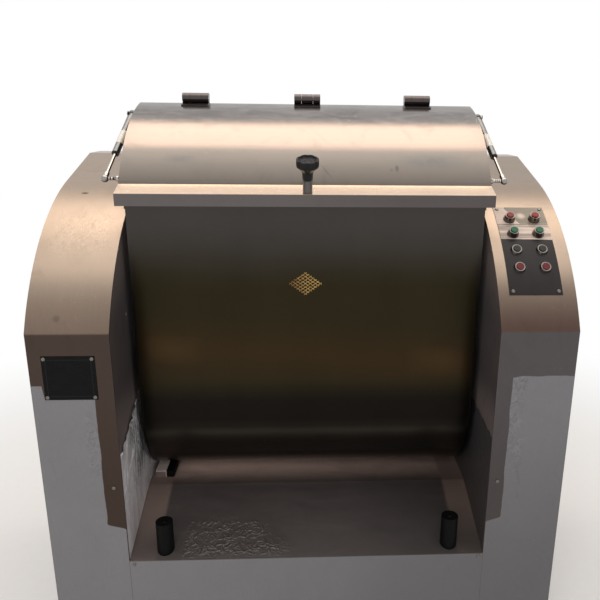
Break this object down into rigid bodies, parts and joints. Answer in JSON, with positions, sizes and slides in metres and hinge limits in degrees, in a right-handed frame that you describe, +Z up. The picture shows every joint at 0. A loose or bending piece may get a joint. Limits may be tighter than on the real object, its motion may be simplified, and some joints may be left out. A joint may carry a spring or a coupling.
{
  "type": "dough mixer",
  "caption": "Horizontal dough mixer: tilting trough with curved hinged lid on gas springs, between two curved sheet-steel housings with geared drives and a push-button panel.",
  "frame": {"origin": "on the floor, in the middle of the four floor anchor holes", "axes": "+X to the operator's right along the trough, +Y to the rear, +Z up"},
  "size_m": [1.255, 0.686, 1.4217],
  "materials": {
    "stainless_sheet": "brushed stainless sheet",
    "trough_steel": "brushed stainless, coarser grain",
    "film_covered_sheet": "brushed stainless under grey protective film",
    "frame_paint": "grey enamel",
    "cast_paint": "blue-grey machine enamel",
    "bearing_iron": "painted cast iron",
    "machined_steel": "turned bright steel",
    "gear_steel": "hobbed and oiled steel",
    "zinc_screw": "zinc plated",
    "black_rubber": "moulded black rubber",
    "belt_rubber": "V-belt rubber and fabric",
    "knob_plastic": "moulded black plastic",
    "plate_black": "black anodised plate",
    "chrome_bezel": "chrome plated",
    "red_cap": "red plastic",
    "green_cap": "green plastic",
    "black_cap": "black plastic",
    "strut_black": "black enamel",
    "hinge_steel": "polished stainless",
    "gland_plastic": "black nylon"
  },
  "bodies": {
    "root": {"base_frame": "frame_paint", "feet": "machined_steel", "left_bearing_plate": "frame_paint", "right_bearing_plate": "frame_paint", "left_housing_shell": "stainless_sheet", "right_housing_shell": "stainless_sheet", "left_inner_panel": "stainless_sheet", "right_inner_panel": "stainless_sheet", "left_side_cover": "stainless_sheet", "right_side_cover": "stainless_sheet", "front_base_panel": "film_covered_sheet", "drip_tray": "trough_steel", "rear_panel": "stainless_sheet", "bumpers": "black_rubber", "bumper_bolts": "zinc_screw", "rest_block": "black_rubber", "nameplate": "plate_black", "panel_screws": "zinc_screw", "control_plate": "plate_black", "button_bodies": "chrome_bezel", "signal_lamps": "red_cap", "main_motor": "cast_paint", "drive_belts": "belt_rubber", "main_bearings": "bearing_iron", "countershaft_cartridge": "bearing_iron", "tilt_gear_motor": "cast_paint", "electrical_box": "frame_paint", "cable_gland": "gland_plastic"},
    "trough": {"trough_shell": "trough_steel", "left_trough_end": "trough_steel", "right_trough_end": "trough_steel", "shaft_seals": "black_rubber", "rear_hood": "trough_steel", "trough_hinge_leaves": "hinge_steel", "hinge_pins": "machined_steel", "trough_strut_studs": "zinc_screw", "tilt_gear": "gear_steel"},
    "lid": {"lid_shell": "trough_steel", "lid_hinge_leaves": "hinge_steel", "lid_strut_studs": "zinc_screw", "latch_bush": "chrome_bezel"},
    "latch": {"latch_knob": "knob_plastic", "latch_spindle": "machined_steel"},
    "left_strut_tube": {"left_strut_tube": "strut_black"},
    "right_strut_tube": {"right_strut_tube": "strut_black"},
    "left_strut_rod": {"left_strut_rod": "machined_steel"},
    "right_strut_rod": {"right_strut_rod": "machined_steel"},
    "mixer": {"mixing_shaft": "machined_steel", "kneading_paddles": "machined_steel", "main_gear": "gear_steel"},
    "countershaft": {"countershaft": "gear_steel", "countershaft_pulley": "bearing_iron"},
    "motor_rotor": {"motor_pulley": "bearing_iron"},
    "tilt_pinion": {"tilt_pinion": "gear_steel"},
    "red_stop_button_left": {"red_stop_button_left": "red_cap"},
    "red_stop_button_right": {"red_stop_button_right": "red_cap"},
    "green_start_button_left": {"green_start_button_left": "green_cap"},
    "green_start_button_right": {"green_start_button_right": "green_cap"},
    "black_tilt_button_left": {"black_tilt_button_left": "black_cap"},
    "black_tilt_button_right": {"black_tilt_button_right": "black_cap"}
  },
  "joints": [
    {"name": "trough_tilt", "type": "hinge", "parent": "root", "child": "trough", "pos_m": [0, 0.06, 0.638], "axis": [1, 0, 0], "range_deg": [0, 90]},
    {"name": "lid_hinge", "type": "hinge", "parent": "trough", "child": "lid", "pos_m": [0, 0.07832, 1.40924], "axis": [-1, 0, 0], "range_deg": [0, 80]},
    {"name": "latch_turn", "type": "hinge", "parent": "lid", "child": "latch", "pos_m": [0, -0.218, 1.2022], "axis": [0, -0.3481, 0.9375], "range_deg": [0, 90]},
    {"name": "mixer_spin", "type": "hinge", "parent": "root", "child": "mixer", "pos_m": [0, 0.06, 0.638], "axis": [1, 0, 0], "continuous": true},
    {"name": "countershaft_spin", "type": "hinge", "parent": "root", "child": "countershaft", "pos_m": [-0.5, 0.06, 0.458], "axis": [1, 0, 0], "continuous": true},
    {"name": "motor_spin", "type": "hinge", "parent": "root", "child": "motor_rotor", "pos_m": [-0.5, 0.07, 0.215], "axis": [1, 0, 0], "continuous": true},
    {"name": "tilt_pinion_spin", "type": "hinge", "parent": "root", "child": "tilt_pinion", "pos_m": [0.5, 0.06, 0.488], "axis": [1, 0, 0], "range_deg": [-365, 5]},
    {"name": "left_strut_swing", "type": "hinge", "parent": "trough", "child": "left_strut_tube", "pos_m": [-0.451, 0.05504, 1.36804], "axis": [-1, 0, 0], "range_deg": [-1, 85.05]},
    {"name": "left_strut_slide", "type": "slide", "parent": "left_strut_tube", "child": "left_strut_rod", "axis": [-0.0635, -0.8406, -0.538], "range_m": [-0.001, 0.05829]},
    {"name": "right_strut_swing", "type": "hinge", "parent": "trough", "child": "right_strut_tube", "pos_m": [0.451, 0.05504, 1.36804], "axis": [-1, 0, 0], "range_deg": [-1, 85.05]},
    {"name": "right_strut_slide", "type": "slide", "parent": "right_strut_tube", "child": "right_strut_rod", "axis": [0.0635, -0.8406, -0.538], "range_m": [-0.001, 0.05829]},
    {"name": "red_stop_button_left_press", "type": "slide", "parent": "root", "child": "red_stop_button_left", "axis": [0, 0.5515, -0.8341], "range_m": [0, 0.004], "stiffness_N_per_m": 400},
    {"name": "red_stop_button_right_press", "type": "slide", "parent": "root", "child": "red_stop_button_right", "axis": [0, 0.5515, -0.8341], "range_m": [0, 0.004], "stiffness_N_per_m": 400},
    {"name": "green_start_button_left_press", "type": "slide", "parent": "root", "child": "green_start_button_left", "axis": [0, 0.6211, -0.7837], "range_m": [0, 0.004], "stiffness_N_per_m": 400},
    {"name": "green_start_button_right_press", "type": "slide", "parent": "root", "child": "green_start_button_right", "axis": [0, 0.6211, -0.7837], "range_m": [0, 0.004], "stiffness_N_per_m": 400},
    {"name": "black_tilt_button_left_press", "type": "slide", "parent": "root", "child": "black_tilt_button_left", "axis": [0, 0.6861, -0.7275], "range_m": [0, 0.004], "stiffness_N_per_m": 400},
    {"name": "black_tilt_button_right_press", "type": "slide", "parent": "root", "child": "black_tilt_button_right", "axis": [0, 0.6861, -0.7275], "range_m": [0, 0.004], "stiffness_N_per_m": 400}
  ],
  "couplings": [
    {"joint": "countershaft_spin", "follows": "mixer_spin", "ratio": -4},
    {"joint": "motor_spin", "follows": "mixer_spin", "ratio": -11.429},
    {"joint": "tilt_pinion_spin", "follows": "trough_tilt", "ratio": -4},
    {"joint": "left_strut_swing", "follows": "lid_hinge", "ratio": 1.0506},
    {"joint": "left_strut_slide", "follows": "lid_hinge", "m_per_rad": 0.04103},
    {"joint": "right_strut_swing", "follows": "lid_hinge", "ratio": 1.0506},
    {"joint": "right_strut_slide", "follows": "lid_hinge", "m_per_rad": 0.04103}
  ]
}
